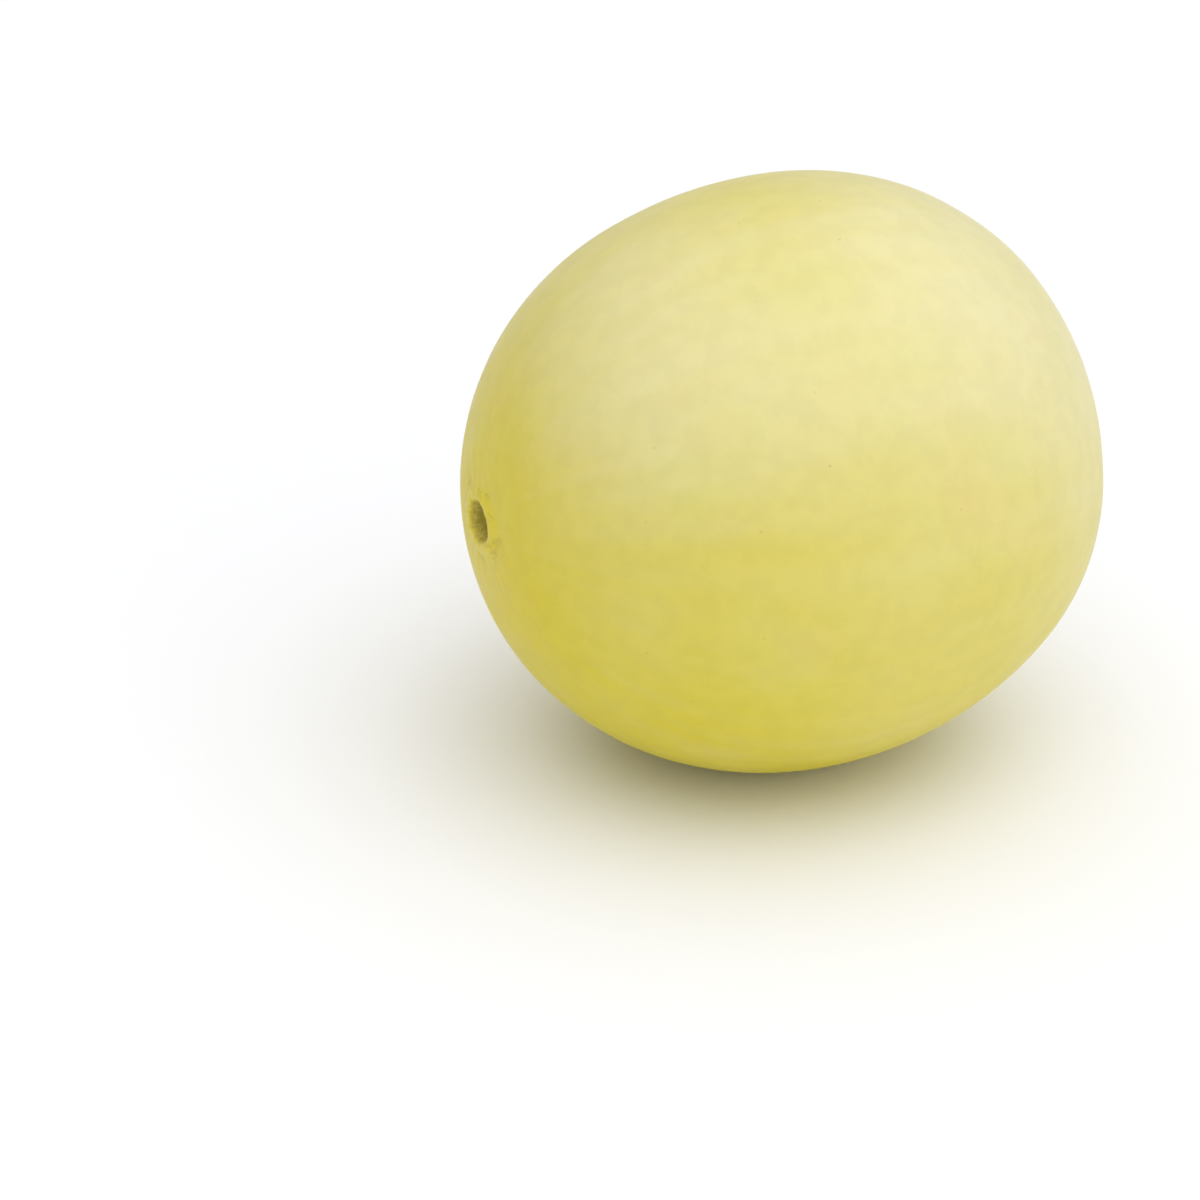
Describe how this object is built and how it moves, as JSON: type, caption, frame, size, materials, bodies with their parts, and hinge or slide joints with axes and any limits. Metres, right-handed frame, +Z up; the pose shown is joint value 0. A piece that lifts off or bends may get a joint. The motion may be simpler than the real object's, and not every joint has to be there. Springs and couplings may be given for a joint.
{
  "type": "honeydew melon",
  "caption": "Whole smooth-skinned honeydew melon, a blunt oval fruit lying on its side, with a sunken corky stem scar at one end and a small blossom scar at the other.",
  "frame": {"origin": "on the ground, under the middle of the fruit's box", "axes": "+X along the fruit from the stem scar to the blossom scar, +Y to the fruit's far flank, +Z up"},
  "size_m": [0.1738, 0.1618, 0.1601],
  "materials": {
    "rind": "satin"
  },
  "bodies": {
    "root": {"melon": "rind"}
  },
  "joints": []
}
